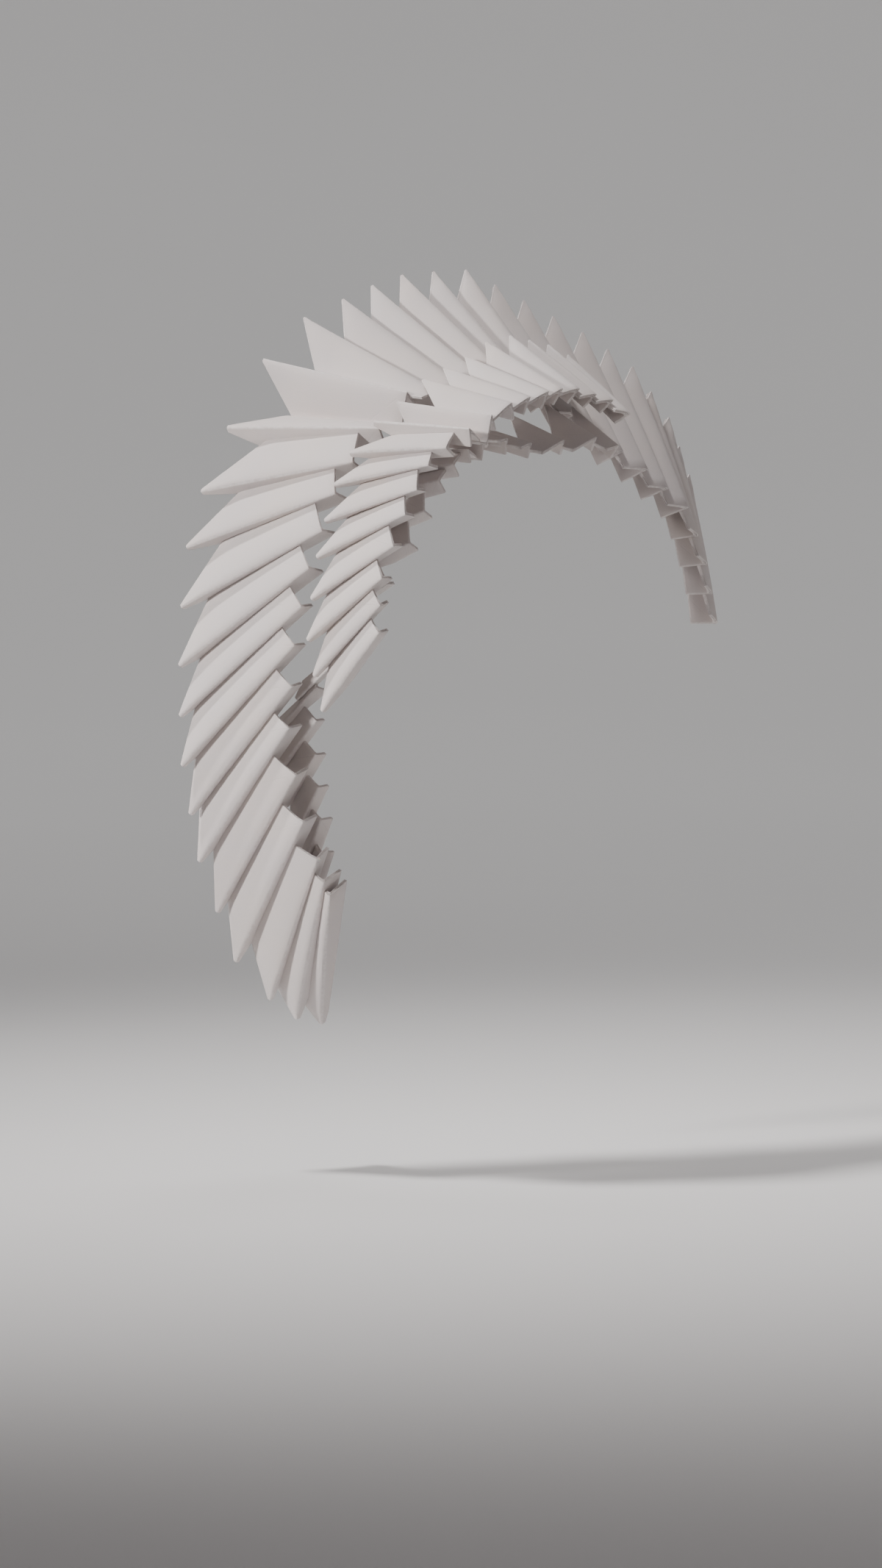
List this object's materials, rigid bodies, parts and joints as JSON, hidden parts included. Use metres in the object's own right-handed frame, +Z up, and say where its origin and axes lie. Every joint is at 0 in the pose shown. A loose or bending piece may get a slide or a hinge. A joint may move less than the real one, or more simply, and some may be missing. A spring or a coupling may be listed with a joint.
{
  "type": "origami headpiece",
  "caption": "Arched headpiece of folded paper units, chained tip out in rows that fan back like feathers over the crown of the head.",
  "frame": {"origin": "top of the head, just under the crown of the arch, where the headpiece sits", "axes": "+Z up as worn, +X towards the wearer's front, +Y towards the wearer's left side"},
  "size_m": [0.1933, 0.1538, 0.2705],
  "materials": {
    "paper": "matte uncoated white paper, pressed folds"
  },
  "bodies": {
    "root": {"large_unit_01": "paper", "large_unit_02": "paper", "large_unit_03": "paper", "large_unit_04": "paper", "large_unit_05": "paper", "large_unit_06": "paper", "large_unit_07": "paper", "large_unit_08": "paper", "large_unit_09": "paper", "large_unit_10": "paper", "large_unit_11": "paper", "large_unit_12": "paper", "large_unit_13": "paper", "large_unit_14": "paper", "large_unit_15": "paper", "large_unit_16": "paper", "large_unit_17": "paper", "large_unit_18": "paper", "large_unit_19": "paper", "large_unit_20": "paper", "large_unit_21": "paper", "large_unit_22": "paper", "large_unit_23": "paper", "large_unit_24": "paper", "large_unit_25": "paper", "large_unit_26": "paper", "large_unit_27": "paper", "large_unit_28": "paper", "large_unit_29": "paper", "large_unit_30": "paper", "large_unit_31": "paper", "small_unit_01": "paper", "small_unit_02": "paper", "small_unit_03": "paper", "small_unit_04": "paper", "small_unit_05": "paper", "small_unit_06": "paper", "small_unit_07": "paper", "small_unit_08": "paper", "small_unit_09": "paper", "small_unit_10": "paper", "small_unit_11": "paper", "small_unit_12": "paper", "small_unit_13": "paper", "small_unit_14": "paper", "small_unit_15": "paper", "small_unit_16": "paper", "small_unit_17": "paper", "small_unit_18": "paper", "inner_chain_near": "paper", "inner_chain_far": "paper"}
  },
  "joints": []
}
